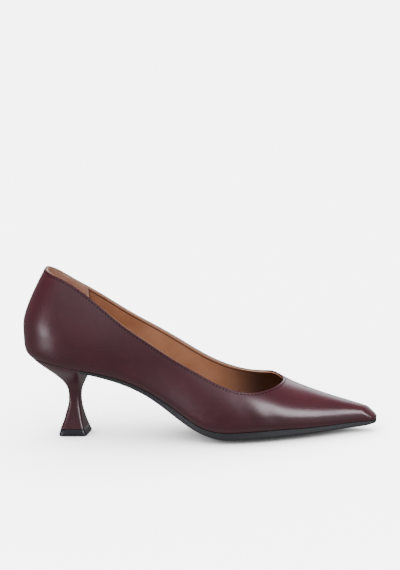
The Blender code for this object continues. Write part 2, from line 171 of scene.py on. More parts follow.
class Curve:
    """Natural cubic spline through a column of a table, read at one place or many."""

    def __init__(self, places, values):
        self.x = np.array(places, float)
        self.y = np.array(values, float)
        step = np.diff(self.x)
        count = len(self.x)
        system = np.eye(count)
        right = np.zeros(count)
        for i in range(1, count - 1):
            system[i, i - 1:i + 2] = step[i - 1], 2 * (step[i - 1] + step[i]), step[i]
            right[i] = 6 * ((self.y[i + 1] - self.y[i]) / step[i] - (self.y[i] - self.y[i - 1]) / step[i - 1])
        self.bend = np.linalg.solve(system, right)

    def __call__(self, place):
        place = np.asarray(place, float)
        i = np.clip(np.searchsorted(self.x, place) - 1, 0, len(self.x) - 2)
        step = self.x[i + 1] - self.x[i]
        after = (place - self.x[i]) / step
        before = 1 - after
        cubic = (before ** 3 - before) * self.bend[i] + (after ** 3 - after) * self.bend[i + 1]
        return before * self.y[i] + after * self.y[i + 1] + cubic * step * step / 6


def column(table, name, size=1.0):
    """A table's column as a curve over metres along the shoe."""
    return Curve([row[0] * LENGTH for row in table], [getattr(row, name) * size for row in table])


RISE = column(SECTIONS, "rise", HEEL_HEIGHT - BALL_EDGE_HEIGHT)
EDGE = {-1: column(SECTIONS, "edge_outer", BALL_WIDTH), 1: column(SECTIONS, "edge_inner", BALL_WIDTH)}
WIDE = {-1: column(SECTIONS, "wide_outer", BALL_WIDTH), 1: column(SECTIONS, "wide_inner", BALL_WIDTH)}
WIDEST = column(SECTIONS, "widest", COUNTER_HEIGHT)
RIDGE = column(SECTIONS, "ridge", COUNTER_HEIGHT)
RIDGE_INWARD = column(SECTIONS, "ridge_inward", BALL_WIDTH)
LEAN = column(SECTIONS, "lean")
FULLNESS = column(SECTIONS, "fullness")
TOP_SHARE = {-1: column(TOPLINE, "outer"), 1: column(TOPLINE, "inner")}
SOLE_EDGE = column(SOLE, "edge", OUTSOLE_EDGE)
SOLE_DROP = column(SOLE, "belly", SOLE_BELLY)


def feather_height(along):
    """Height over the ground of the edge where the upper turns in under the last."""
    return BALL_EDGE_HEIGHT + RISE(along)


def soft(height):
    """A height that starts slowly, so that the lean of the wall begins without a crease."""
    return np.hypot(height, LEAN_SOFTNESS) - LEAN_SOFTNESS


def top_turn(along, side):
    """Angle of the section's arch where the topline cuts it, a right angle being the ridge."""
    share = np.clip(TOP_SHARE[side](np.clip(along, TOPLINE_BACK_LEAN, THROAT_AT)), 0.0, 1.0)
    turn = np.arcsin(share ** (FULLNESS(along) / 2))
    return np.where(along < THROAT_AT, turn, math.pi / 2)


def back_recess(level):
    """How far the middle of the back stands in from its furthest point."""
    full_turn = top_turn(np.array(TOPLINE_BACK_LEAN), -1)
    over = np.clip(level - 1, 0.0, 1.0)
    height = (RIDGE(0) - WIDEST(0)) * np.sin(over * full_turn)
    full = (RIDGE(0) - WIDEST(0)) * np.sin(full_turn)
    below = BACK_TURN_IN * np.clip(1 - level, 0.0, 1.0) ** BACK_TURN_IN_POWER
    return below + TOPLINE_BACK_LEAN * soft(height) / soft(full)


def wall(step, side, level, inset=0.0):
    """Points of the upper's wall for arrays of steps and levels.

    Steps run from -1 at the back through 0 and 1 to 2 at the toe. Level 0 is the feather edge, 1 the
    widest line and 2 the topline or the ridge.
    """
    step, level = np.broadcast_arrays(np.asarray(step, float), np.asarray(level, float))
    turn = np.clip(-step, 0, 1) * math.pi / 2
    back_share = np.sin(turn) ** (2 / BACK_ROUNDNESS)
    toe_turn = np.clip(step - 1, 0, 1) * math.pi / 2
    toe_share = np.sin(toe_turn) ** (2 / TOE_ROUNDNESS)
    straight = HEEL_CENTRE + (TOE_CAP_AT - HEEL_CENTRE) * np.clip(step, 0, 1)
    along = straight - (HEEL_CENTRE - back_recess(level)) * back_share + TOE_CAP_LENGTH * toe_share
    narrowing = np.clip(np.cos(turn), 0, 1) ** (2 / BACK_ROUNDNESS)
    narrowing = narrowing * np.clip(np.cos(toe_turn), 0, 1) ** (2 / TOE_ROUNDNESS)
    middle = np.where(step > 1, RIDGE_INWARD(along), 0.0)
    lowering = 1 - TOE_ROUNDING * toe_share ** TOE_ROUNDING_POWER
    widest = WIDEST(along)
    wide = WIDE[side](along)
    turned_in = (wide - EDGE[side](along)) * np.clip(1 - level, 0, 1) ** TURN_IN_POWER
    fullness = FULLNESS(along)
    arch = np.clip(level - 1, 0, 1) * top_turn(along, side)
    ridge_half = side * RIDGE_INWARD(along)
    rise = (RIDGE(along) - inset - widest) * np.sin(arch) ** (2 / fullness)
    half_over = ridge_half + (wide - inset - ridge_half) * np.clip(np.cos(arch), 0, 1) ** (2 / fullness)
    half_over = half_over - np.where(along < THROAT_AT, LEAN(along), 0.0) * soft(rise)
    half = np.where(level <= 1, wide - inset - turned_in, half_over)
    height = np.where(level <= 1, widest * level, widest + rise)
    across = middle + (side * half - middle) * narrowing
    skewing = np.clip((along - SKEW_FROM) / (TOE_CAP_AT - SKEW_FROM), 0, 1) ** 2
    skew = SNIP_SKEW * skewing * (across - RIDGE_INWARD(along))
    x = along + inset * (back_share - toe_share) + skew - HEEL_CENTRE
    return np.stack((x, across, feather_height(along) + height * lowering), axis=-1)


def step_at(along):
    """The step of a place between the heel's middle and the toe cap."""
    return (along - HEEL_CENTRE) / (TOE_CAP_AT - HEEL_CENTRE)


def unit(vectors):
    """Vectors brought to length one."""
    return vectors / np.maximum(np.linalg.norm(vectors, axis=-1, keepdims=True), 1e-12)


def smoothed(loop, rounds):
    """Directions round a closed loop, evened out with their neighbours."""
    for _ in range(rounds):
        loop = unit(np.roll(loop, 1, axis=0) + 2 * loop + np.roll(loop, -1, axis=0))
    return loop


class Rim:
    """The topline as a closed loop of evenly spaced places, with the wall's directions at each."""

    def __init__(self, count):
        throat = step_at(THROAT_AT)
        steps = throat - (throat + 1) * np.linspace(0, 1, 1600) ** 2
        loop = np.concatenate((steps, steps[::-1][1:-1]))
        sides = np.concatenate((np.full(len(steps), -1), np.full(len(steps) - 2, 1)))
        places = [np.where(sides[:, None] < 0, wall(loop, -1, 2.0, inset), wall(loop, 1, 2.0, inset))
                  for inset in (0.0, WALL)]
        lengths = np.linalg.norm(np.diff(places[0], axis=0, append=places[0][:1]), axis=1)
        reach = np.concatenate(([0.0], np.cumsum(lengths)))
        self.length = reach[-1]
        wanted = np.arange(count) * self.length / count
        closed = [np.concatenate((place, place[:1])) for place in places]
        self.outer, self.inner = [np.stack([np.interp(wanted, reach, place[:, k]) for k in range(3)], axis=-1)
                                  for place in closed]
        self.along = unit(np.roll(self.outer, -1, axis=0) - np.roll(self.outer, 1, axis=0))
        self.out = self.up = None

    def lie_on(self, surface):
        """Take the directions out of the leather and up to the opening from its surface."""
        found = [surface.find_nearest(Vector(place)) for place in self.outer]
        out = smoothed(np.array([tuple(hit[1]) for hit in found]), 6)
        inward = self.inner - self.outer
        out = np.where((out * inward).sum(1, keepdims=True) > 0, -out, out)
        self.out = unit(out - self.along * (out * self.along).sum(1, keepdims=True))
        # The loop runs forward on one side and back on the other, so that one turn gives up all round
        self.up = smoothed(np.cross(self.along, self.out), 2)
        if self.up[len(self.up) // 2, 2] < 0:
            self.up = -self.up
        return self


# Helpers for meshes

def clear_selection():
    """Leave edit mode and deselect everything."""
    if bpy.context.object and bpy.context.object.mode != "OBJECT":
        bpy.ops.object.mode_set(mode="OBJECT")
    bpy.ops.object.select_all(action="DESELECT")


def select_only(pieces):
    """Deselect everything but some pieces, of which the first becomes the active one."""
    clear_selection()
    for piece in pieces:
        piece.select_set(True)
    bpy.context.view_layer.objects.active = pieces[0]


def woven_grid(name, columns, rows, place):
    """A primitive grid whose points are laid on a surface: place gets a column's and a row's number."""
    clear_selection()
    bpy.ops.mesh.primitive_grid_add(x_subdivisions=columns, y_subdivisions=rows, size=1, calc_uvs=True)
    piece = bpy.context.object
    piece.name = piece.data.name = name
    mesh = piece.data
    flat = np.empty(len(mesh.vertices) * 3)
    mesh.vertices.foreach_get("co", flat)
    flat = flat.reshape(-1, 3)
    across = np.rint((flat[:, 0] + 0.5) * columns).astype(int)
    up = np.rint((flat[:, 1] + 0.5) * rows).astype(int)
    mesh.vertices.foreach_set("co", place(across, up).ravel())
    mesh.update()
    return piece


def join(name, pieces):
    """Several pieces as one, with points in the same place merged."""
    select_only(pieces)
    if len(pieces) > 1:
        bpy.ops.object.join()
    piece = bpy.context.object
    piece.name = piece.data.name = name
    bpy.ops.object.mode_set(mode="EDIT")
    bpy.ops.mesh.select_all(action="SELECT")
    bpy.ops.mesh.remove_doubles(threshold=0.000004)
    bpy.ops.mesh.normals_make_consistent(inside=False)
    bpy.ops.object.mode_set(mode="OBJECT")
    return piece


def finish_piece(piece, material, replaced=(), sharp=None, thickness=0.0):
    """Shade a piece, give it its material and tie it to the frame. A sheet's thickness goes against its
    normals, or along them where it is less than nothing."""
    select_only([piece])
    if thickness:
        sheet = piece.modifiers.new("thickness", "SOLIDIFY")
        sheet.thickness = abs(thickness)
        sheet.offset = -1.0 if thickness > 0 else 1.0
    if sharp is None:
        bpy.ops.object.shade_smooth()
    else:
        bpy.ops.object.shade_smooth_by_angle(angle=math.radians(sharp))
    piece.data.materials.clear()
    piece.data.materials.append(material)
    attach(piece, "root")
    if replaced:
        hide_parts(*replaced)
    return piece


def points_of(piece):
    """A piece's points as an array."""
    flat = np.empty(len(piece.data.vertices) * 3)
    piece.data.vertices.foreach_get("co", flat)
    return flat.reshape(-1, 3)


def normals_of(piece):
    """A piece's point normals as an array."""
    return np.array([tuple(vertex.normal) for vertex in piece.data.vertices])


def distance_to(points, line):
    """Distance of each point to the nearest place of a line."""
    found = np.empty(len(points))
    for start in range(0, len(points), 2000):
        part = points[start:start + 2000]
        found[start:start + 2000] = np.sqrt(((part[:, None, :] - line[None]) ** 2).sum(2).min(1))
    return found


def add_attribute(piece, name, values):
    """A number for each point of a piece, which its material reads."""
    layer = piece.data.attributes.new(name, "FLOAT", "POINT")
    layer.data.foreach_set("value", np.asarray(values, float))


def bead(name, rim, line, out, over, half_out, half_up, sides=10):
    """A closed bead with an oval section along a line of the topline, moved out and up from it."""
    turns = np.arange(sides + 1) * 2 * math.pi / sides
    count = len(line)

    def place(i, j):
        i = i % count
        a = out + half_out * np.cos(turns[j])
        u = over + half_up * np.sin(turns[j])
        return line[i] + rim.out[i] * a[:, None] + rim.up[i] * u[:, None]

    return join(name, [woven_grid(name, count, sides, place)])


def close_ends(piece):
    """Fill the open ends of a piece."""
    select_only([piece])
    bpy.ops.object.mode_set(mode="EDIT")
    bpy.ops.mesh.select_all(action="DESELECT")
    bpy.ops.mesh.select_non_manifold()
    bpy.ops.mesh.edge_face_add()
    bpy.ops.mesh.select_all(action="SELECT")
    bpy.ops.mesh.normals_make_consistent(inside=False)
    bpy.ops.object.mode_set(mode="OBJECT")
    return piece


# Finishes

# How far under the topline the lining's painted shade line runs: a dark line that stands for the shade in the
# groove under its cut edge
SHADE_LINE_DOWN = 0.0019


def linear(code):
    """A linear colour from an sRGB hex code."""
    channels = [int(code[i:i + 2], 16) / 255 for i in (1, 3, 5)]
    return tuple(c / 12.92 if c <= 0.04045 else ((c + 0.055) / 1.055) ** 2.4 for c in channels) + (1.0,)


def feed(tree, node, links):
    """Link a node's inputs to sockets or set them to values."""
    for name, value in dict(links).items():
        socket = node.inputs[name]
        if isinstance(value, bpy.types.NodeSocket):
            tree.links.new(value, socket)
        else:
            socket.default_value = value
    return node


def add(tree, kind, settings=(), links=()):
    """Add a node with its settings and its linked or set inputs."""
    node = tree.nodes.new(kind)
    for name, value in dict(settings).items():
        setattr(node, name, value)
    return feed(tree, node, links)


def new_material(name):
    """An empty material with a shader and its output."""
    material = bpy.data.materials.new(name)
    material.use_nodes = True
    return material, material.node_tree, material.node_tree.nodes["Principled BSDF"]


def ramp(tree, factor, low, high, low_at=0.0, high_at=1.0):
    """A colour that goes from one to another as a factor rises."""
    node = add(tree, "ShaderNodeValToRGB", links={"Fac": factor})
    node.color_ramp.elements[0].position = low_at
    node.color_ramp.elements[0].color = low
    node.color_ramp.elements[1].position = high_at
    node.color_ramp.elements[1].color = high
    return node.outputs["Color"]


def burgundy_calf():
    """Full-grain calf, aniline dyed and lightly finished: even burgundy, fine pores, satin gloss."""
    material, tree, shader = new_material("burgundy_calf")
    place = add(tree, "ShaderNodeTexCoord").outputs["Object"]
    # Dye takes unevenly over patches of about 25 mm
    patches = add(tree, "ShaderNodeTexNoise", links={"Vector": place, "Scale": 40.0, "Detail": 3.0})
    dye = ramp(tree, patches.outputs["Fac"], linear("#46111E"), linear("#541827"), 0.30, 0.72)
    # Pores are 0.25 mm apart on calf, drawn at 0.5 mm so that they show
    pores = add(tree, "ShaderNodeTexVoronoi", links={"Vector": place, "Scale": 2000.0})
    fine = add(tree, "ShaderNodeTexNoise", links={"Vector": place, "Scale": 1100.0, "Detail": 4.0})
    # The skin's own soft unevenness, 8 to 10 mm across
    soft_waves = add(tree, "ShaderNodeTexNoise", links={"Vector": place, "Scale": 110.0, "Detail": 2.0})
    pore_bump = add(tree, "ShaderNodeBump", links={
        "Height": pores.outputs["Distance"], "Strength": 0.10, "Distance": 0.00006})
    fine_bump = add(tree, "ShaderNodeBump", links={
        "Height": fine.outputs["Fac"], "Strength": 0.16, "Distance": 0.00012,
        "Normal": pore_bump.outputs["Normal"]})
    wave_bump = add(tree, "ShaderNodeBump", links={
        "Height": soft_waves.outputs["Fac"], "Strength": 0.20, "Distance": 0.0008,
        "Normal": fine_bump.outputs["Normal"]})
    shine = add(tree, "ShaderNodeMapRange", links={
        "Value": fine.outputs["Fac"], "To Min": 0.34, "To Max": 0.43})
    feed(tree, shader, {
        "Base Color": dye, "Normal": wave_bump.outputs["Normal"], "Roughness": shine.outputs["Result"],
        "IOR": 1.5, "Coat Weight": 0.25, "Coat Roughness": 0.26})
    return material


def lining_calf():
    """Vegetable-tanned lining leather, unfinished: tan, matt, with painted shade: a dark line under the
    topline and a darkening under the vamp.
    """
    material, tree, shader = new_material("lining_calf")
    place = add(tree, "ShaderNodeTexCoord").outputs["Object"]
    # Its tan shifts over patches of about 17 mm and its fibres lie in bundles of about 1.1 mm
    patches = add(tree, "ShaderNodeTexNoise", links={"Vector": place, "Scale": 60.0, "Detail": 5.0})
    tan = ramp(tree, patches.outputs["Fac"], linear("#BA8762"), linear("#CE9D7A"), 0.30, 0.72)
    # Hardly any light reaches the leather under the vamp, so that shade is painted into the lining's colour
    # there, down to a dark brown
    reached = add(tree, "ShaderNodeAttribute", {"attribute_name": "light_reaches"}).outputs["Fac"]
    vamp_shade_painted = add(tree, "ShaderNodeMix", {"data_type": "RGBA"}, {
        "Factor": reached, "A": linear("#3A1E12"), "B": tan}).outputs["Result"]
    fibres = add(tree, "ShaderNodeTexNoise", links={"Vector": place, "Scale": 900.0, "Detail": 6.0})
    # A dark brown is painted along a line under the topline, for the shade in the groove under the cut edge
    down = add(tree, "ShaderNodeAttribute", {"attribute_name": "below_topline"})
    past_line = add(tree, "ShaderNodeMath", {"operation": "SUBTRACT"}, {0: down.outputs["Fac"], 1: SHADE_LINE_DOWN})
    off_line = add(tree, "ShaderNodeMath", {"operation": "ABSOLUTE"}, {0: past_line.outputs[0]})
    clear = add(tree, "ShaderNodeMapRange", {"interpolation_type": "SMOOTHSTEP"}, {
        "Value": off_line.outputs[0], "From Min": 0.0001, "From Max": 0.0006})
    with_shade_line = add(tree, "ShaderNodeMix", {"data_type": "RGBA"}, {
        "Factor": clear.outputs["Result"], "A": linear("#472716"), "B": vamp_shade_painted})
    bump = add(tree, "ShaderNodeBump", links={
        "Height": fibres.outputs["Fac"], "Strength": 0.25, "Distance": 0.00012})
    feed(tree, shader, {
        "Base Color": with_shade_line.outputs["Result"], "Normal": bump.outputs["Normal"], "Roughness": 0.72,
        "IOR": 1.48})
    return material


def grip_suede():
    """Suede of the heel grip, flesh side out: pinker and lighter than the lining, with a short nap."""
    material, tree, shader = new_material("heel_grip_suede")
    place = add(tree, "ShaderNodeTexCoord").outputs["Object"]
    # Nap lies in patches of about 12 mm and its fibres are about 0.4 mm apart
    nap = add(tree, "ShaderNodeTexNoise", links={"Vector": place, "Scale": 85.0, "Detail": 4.0})
    suede = ramp(tree, nap.outputs["Fac"], linear("#D6A992"), linear("#E6BEA8"), 0.30, 0.70)
    fibres = add(tree, "ShaderNodeTexNoise", links={"Vector": place, "Scale": 2400.0, "Detail": 4.0})
    bump = add(tree, "ShaderNodeBump", links={
        "Height": fibres.outputs["Fac"], "Strength": 0.35, "Distance": 0.00015})
    # The grip's front edge is sewn down and dark for 0.8 mm
    behind = add(tree, "ShaderNodeAttribute", {"attribute_name": "behind_edge"}).outputs["Fac"]
    off_edge = add(tree, "ShaderNodeMapRange", {"interpolation_type": "SMOOTHSTEP"}, {
        "Value": behind, "From Min": 0.0004, "From Max": 0.0012}).outputs["Result"]
    seamed = add(tree, "ShaderNodeMix", {"data_type": "RGBA"}, {
        "Factor": off_edge, "A": linear("#7A4A32"), "B": suede}).outputs["Result"]
    feed(tree, shader, {
        "Base Color": seamed, "Normal": bump.outputs["Normal"], "Roughness": 0.92, "Sheen Weight": 0.25,
        "Sheen Roughness": 0.45})
    return material


def one_grain(name, scale, detail, low, high, roughness, bump_strength=0.0, bump_depth=0.0):
    """A finish with one grain, which sets its shade between two colours and, where asked, its relief."""
    material, tree, shader = new_material(name)
    place = add(tree, "ShaderNodeTexCoord").outputs["Object"]
    grain = add(tree, "ShaderNodeTexNoise", links={"Vector": place, "Scale": scale, "Detail": detail})
    shade = ramp(tree, grain.outputs["Fac"], linear(low), linear(high), 0.3, 0.7)
    feed(tree, shader, {"Base Color": shade, "Roughness": roughness})
    if bump_strength:
        relief = add(tree, "ShaderNodeBump", links={
            "Height": grain.outputs["Fac"], "Strength": bump_strength, "Distance": bump_depth})
        feed(tree, shader, {"Normal": relief.outputs["Normal"]})
    return material, shader


def cut_edge():
    """The lining's cut edge: raw leather, lighter than its face, its fibres in bundles of about 1.4 mm."""
    return one_grain("lining_cut_edge", 700.0, 4.0, "#C79C82", "#DBB49B", 0.8)[0]


def polyester_thread():
    """Bonded sewing thread, dyed a shade darker than the upper, nearly matt, with a twist of 0.4 mm."""
    material, shader = one_grain("polyester_thread", 2500.0, 1.0, "#1C0711", "#2C0D1A", 0.85)
    shader.inputs["Specular IOR Level"].default_value = 0.2
    return material


def sole_leatherboard():
    """Pressed leather fibre, dyed black and waxed at its trimmed side: a dull grain of about 1.1 mm."""
    return one_grain("black_sole", 900.0, 5.0, "#2A2A2D", "#343438", 0.5, 0.22, 0.0001)[0]


def tip_urethane():
    """Moulded polyurethane heel tip: near black, satin, trimmed at its edge, a grain of about 0.8 mm."""
    return one_grain("urethane_tip", 1300.0, 3.0, "#18181C", "#202026", 0.42, 0.15, 0.00008)[0]


def studio_paper(studio):
    """Matt white paper sweep that glows evenly like a light table, with a painted contact shadow, so that
    shadows stay faint.
    """
    material, tree, shader = new_material("studio_paper")
    # Whatever stands within 0.25 m dims the floor's glow by its occlusion, which paints a soft contact shadow
    # on it
    nearby = add(tree, "ShaderNodeAmbientOcclusion", {"samples": 16}, {"Distance": 0.25})
    painted_contact_shadow = add(tree, "ShaderNodeMath", {"operation": "POWER"}, {0: nearby.outputs["AO"], 1: studio.shadow})
    glow = add(tree, "ShaderNodeMath", {"operation": "MULTIPLY"}, {0: painted_contact_shadow.outputs[0], 1: studio.glow})
    feed(tree, shader, {
        "Base Color": (*studio.paper, 1.0), "Roughness": 1.0, "Specular IOR Level": 0.0,
        "Emission Color": (1.0, 1.0, 1.0, 1.0), "Emission Strength": glow.outputs[0]})
    return material


MATERIALS = {}


def material_of(kind):
    """A finish, made when it is first asked for."""
    if kind.__name__ not in MATERIALS:
        MATERIALS[kind.__name__] = kind()
    return MATERIALS[kind.__name__]


# Settings

class CourtShoeSizes(bpy.types.PropertyGroup):
    """Sizes of the details that the looks add."""
    fold_width: FloatProperty(
        name="Fold width", description="Width of the upper's folded edge along the topline",
        default=0.0011, min=0.0, unit="LENGTH")
    fold_height: FloatProperty(
        name="Fold height", description="Height of the rounding on the folded edge",
        default=0.0008, min=0.0, unit="LENGTH")
    stitch_pitch: FloatProperty(
        name="Stitch pitch", description="Distance from one stitch to the next",
        default=0.0025, min=0.0005, unit="LENGTH")
    stitch_length: FloatProperty(
        name="Stitch length", description="Length of the thread that shows",
        default=0.0020, min=0.0002, unit="LENGTH")
    stitch_down: FloatProperty(
        name="Stitch distance", description="Distance of the stitches from the topline",
        default=0.0016, min=0.0, unit="LENGTH")
    thread_width: FloatProperty(
        name="Thread width", description="Width of the sewing thread",
        default=0.00072, min=0.0, unit="LENGTH")
    heel_grip_end: FloatProperty(
        name="Heel grip end", description="How far from the back the heel grip's lining reaches",
        default=0.0457, min=0.0, unit="LENGTH")


class CourtShoeStudio(bpy.types.PropertyGroup):
    """The studio round the shoe."""
    paper: FloatVectorProperty(
        name="Paper", description="Colour of the floor", subtype="COLOR", size=3, default=(0.80, 0.80, 0.80))
    glow: FloatProperty(name="Glow", description="Light that comes through the floor", default=5.0, min=0.0)
    # The depth of the contact shadow painted into the floor's glow
    shadow: FloatProperty(name="Shadow", description="How deep the contact shadow is", default=1.5, min=0.0)
    ground_light: FloatProperty(
        name="Ground light", description="Strength of the light thrown up by the floor", default=0.5, min=0.0)
    sky: FloatProperty(name="Room light", description="Strength of the even light", default=0.30, min=0.0)
    floor_size: FloatProperty(
        name="Floor size", description="Side of the floor", default=40.0, min=1.0, unit="LENGTH")


# Pieces

def crowded(start, end, count, power=1.0):
    """Values from start to end, without the end, that lie closer to the end with a power over 1."""
    return list(end - (end - start) * (1 - np.arange(count) / count) ** power)


def outer_columns():
    """Steps of the leather's columns: close together at the throat and round the ends."""
    throat = step_at(THROAT_AT)
    dense_from = step_at(THROAT_AT - 0.040)
    columns = crowded(-1.0, 0.0, 56) + crowded(0.0, dense_from, 120) + crowded(dense_from, throat, 90, 2.0)
    columns += crowded(throat, throat + 0.03, 20) + crowded(throat + 0.03, 1.0, 60)
    return np.array(columns + toe_columns())


def toe_columns():
    """Steps round the toe cap, even along its sides and then round its end."""
    shares = np.linspace(0, 0.95, 24)
    along = 1 + np.arcsin(shares ** (TOE_ROUNDNESS / 2)) / (math.pi / 2)
    return list(along) + list(np.linspace(along[-1], 2, 16)[1:])


def wall_sheet(name, steps, levels, inset, top_cut=0.0):
    """Both halves of the wall as one sheet, cut short under the topline by a distance."""
    halves = []
    for side in (-1, 1):
        reach = np.linalg.norm(wall(steps, side, 2.0, inset) - wall(steps, side, 1.97, inset), axis=-1) / 0.03
        is_open = steps < step_at(THROAT_AT) - 1e-6
        cut = np.where(is_open, np.minimum(top_cut / np.maximum(reach, 1e-5), 0.5), 0.0)

        def place(i, j):
            level = levels[j] - cut[i] * np.clip(levels[j] - 1, 0, 1)
            return wall(steps[i], side, level, inset)

        halves.append(woven_grid(name, len(steps) - 1, len(levels) - 1, place))
    return join(name, halves)


RIM = Rim(900)
# Thickness of the outer leather, within the wall that the leather and the lining share
LEATHER = 0.0010
# Thickness of the lining and of the heel grip, and how far under the topline each ends
LINING = 0.0006
LINING_CUT = 0.0003
GRIP = 0.0005
GRIP_CUT = 0.0010
# The heel grip's outer face stands this far in from the lining's
GRIP_LIFT = 0.0004
# How far the lining goes on past the throat, and where the shade painted on it under the vamp starts and is
# full
LINING_PAST_THROAT = 0.052
SHADE_STARTS = 0.122
SHADE_FULL = 0.164
# The sock's upper face over the insole's, and its gap to the lining
SOCK_LIFT = 0.0002
SOCK_GAP = 0.0001
# Radius of the sole's lower corner, and the share of its side that is left upright
SOLE_CORNER = 0.0016
UPRIGHT_SHARE = 0.72
# Points round the heel and the tip
HEEL_POINTS = 160


def surface_of(piece):
    """A piece's surface, to find its nearest place."""
    faces = [tuple(face.vertices) for face in piece.data.polygons]
    return BVHTree.FromPolygons([tuple(point) for point in points_of(piece)], faces)


# Soft forms of worn-in and lasted leather: along and height over the ground, reach along the crease
# and across it, slant in degrees from level and depth inwards, in millimetres
Crease = namedtuple("Crease", "side along height reach width slant depth")
CREASES = (
    Crease(-1, 160, 24, 16, 5.0, 60, 0.25),
    Crease(-1, 176, 22, 13, 4.5, 50, 0.22),
    Crease(1, 162, 24, 16, 5.0, 60, 0.25),
    Crease(1, 178, 22, 13, 4.5, 50, 0.22),
    Crease(-1, 96, 52, 20, 8.0, 30, 0.30),
    Crease(1, 100, 50, 20, 8.0, 30, 0.30),
)


def press_creases(piece):
    """Push the leather in along its soft creases and under the topline's stitches."""
    points = points_of(piece)
    normals = normals_of(piece)
    depth = np.zeros(len(points))
    for crease in CREASES:
        slant = math.radians(crease.slant)
        x = points[:, 0] - (crease.along * MM - HEEL_CENTRE)
        z = points[:, 2] - crease.height * MM
        along = (x * math.cos(slant) - z * math.sin(slant)) / (crease.reach * MM)
        across = (x * math.sin(slant) + z * math.cos(slant)) / (crease.width * MM)
        shape = np.exp(-along ** 2 - across ** 2) - 0.35 * np.exp(-along ** 2 - (across - 1.6) ** 2)
        depth += np.where(points[:, 1] * crease.side > 0, shape, 0.0) * crease.depth * MM
    sizes = bpy.context.scene.court_shoe_sizes
    down = distance_to(points, RIM.outer)
    depth += 0.00005 * np.exp(-((down - sizes.stitch_down) / 0.00045) ** 2)
    piece.data.vertices.foreach_set("co", (points - normals * depth[:, None]).ravel())
    piece.data.update()


class COURTSHOE_OT_upper(bpy.types.Operator):
    """Leather vamp and quarters with their folded edge"""
    bl_idname = "court_shoe.upper"
    bl_label = "Upper"

    def execute(self, context):
        sizes = context.scene.court_shoe_sizes
        levels = np.concatenate((np.linspace(0, 1, 23)[:-1] ** 1.2, 1 + np.linspace(0, 1, 40) ** 0.9))
        upper = wall_sheet("upper_leather", outer_columns(), levels, 0.0)
        press_creases(upper)
        surface = surface_of(upper)
        RIM.lie_on(surface)
        finish_piece(upper, material_of(burgundy_calf), ("upper",), thickness=LEATHER)
        half_width, half_height = sizes.fold_width / 2, sizes.fold_height / 2
        fold = bead("topline_fold", RIM, RIM.outer, 0.03 * MM - half_width, 0.05 * MM - half_height,
                    half_width, half_height)
        finish_piece(fold, material_of(burgundy_calf), ())
        self.sew(sizes, surface)
        return {"FINISHED"}

    def sew(self, sizes, surface):
        """The row of stitches under the topline, each a sunk, slightly slanted oval of thread."""
        count = int(round(RIM.length / sizes.stitch_pitch))
        rim = Rim(count).lie_on(surface)
        clear_selection()
        bpy.ops.mesh.primitive_uv_sphere_add(segments=8, ring_count=6, radius=0.5)
        pattern = bpy.context.object
        shape = points_of(pattern)
        polygons = [tuple(face.vertices) for face in pattern.data.polygons]
        bpy.data.objects.remove(pattern)
        points = []
        faces = []
        for i in range(count):
            place, normal = surface.find_nearest(Vector(rim.outer[i] - rim.up[i] * sizes.stitch_down))[:2]
            normal = np.array(normal) * (1 if np.dot(normal, rim.out[i]) > 0 else -1)
            ahead = unit(rim.along[i] + rim.up[i] * 0.35)
            scaled = shape * (sizes.stitch_length, sizes.thread_width, sizes.thread_width)
            points.append(np.array(place) - normal * 0.1 * sizes.thread_width + scaled[:, :1] * ahead
                          + scaled[:, 1:2] * np.cross(normal, ahead) + scaled[:, 2:] * normal)
            faces += [tuple(index + i * len(shape) for index in face) for face in polygons]
        mesh = bpy.data.meshes.new("topline_stitches")
        mesh.from_pydata([tuple(point) for point in np.concatenate(points)], [], faces)
        stitches = bpy.data.objects.new("topline_stitches", mesh)
        bpy.context.scene.collection.objects.link(stitches)
        finish_piece(join("topline_stitches", [stitches]), material_of(polyester_thread), ())


class COURTSHOE_OT_lining(bpy.types.Operator):
    """Tan lining, its cut edge and the heel grip"""
    bl_idname = "court_shoe.lining"
    bl_label = "Lining"

    def execute(self, context):
        sizes = context.scene.court_shoe_sizes
        levels = np.concatenate((np.linspace(0, 1, 14)[:-1], 1 + np.linspace(0, 1, 46) ** 0.55))
        steps = outer_columns()
        steps = steps[steps <= step_at(THROAT_AT + LINING_PAST_THROAT)]
        lining = wall_sheet("lining", steps, levels, WALL, LINING_CUT)
        points = points_of(lining)
        add_attribute(lining, "below_topline", distance_to(points, RIM.inner))
        # The lining is painted darker under the vamp, for the shade there: this is the share of its tan that
        # stays
        under_vamp = (points[:, 0] + HEEL_CENTRE - SHADE_STARTS) / (SHADE_FULL - SHADE_STARTS)
        under_vamp = np.clip(under_vamp, 0, 1)
        add_attribute(lining, "light_reaches", 1 - under_vamp ** 2 * (3 - 2 * under_vamp))
        finish_piece(lining, material_of(lining_calf), (), thickness=-LINING)
        edge = bead("lining_edge", RIM, RIM.inner, 0.35 * MM, -0.30 * MM, 0.40 * MM, 0.42 * MM, 8)
        finish_piece(edge, material_of(cut_edge), ())
        grip_steps = np.linspace(-1.0, step_at(sizes.heel_grip_end), 70)
        grip_levels = np.concatenate((np.linspace(0.12, 1, 14)[:-1], 1 + np.linspace(0, 1, 30) ** 0.6))
        grip = wall_sheet("heel_grip", grip_steps, grip_levels, WALL + GRIP_LIFT, GRIP_CUT)
        add_attribute(grip, "behind_edge", sizes.heel_grip_end - HEEL_CENTRE - points_of(grip)[:, 0])
        finish_piece(grip, material_of(grip_suede), (), thickness=-GRIP)
        return {"FINISHED"}


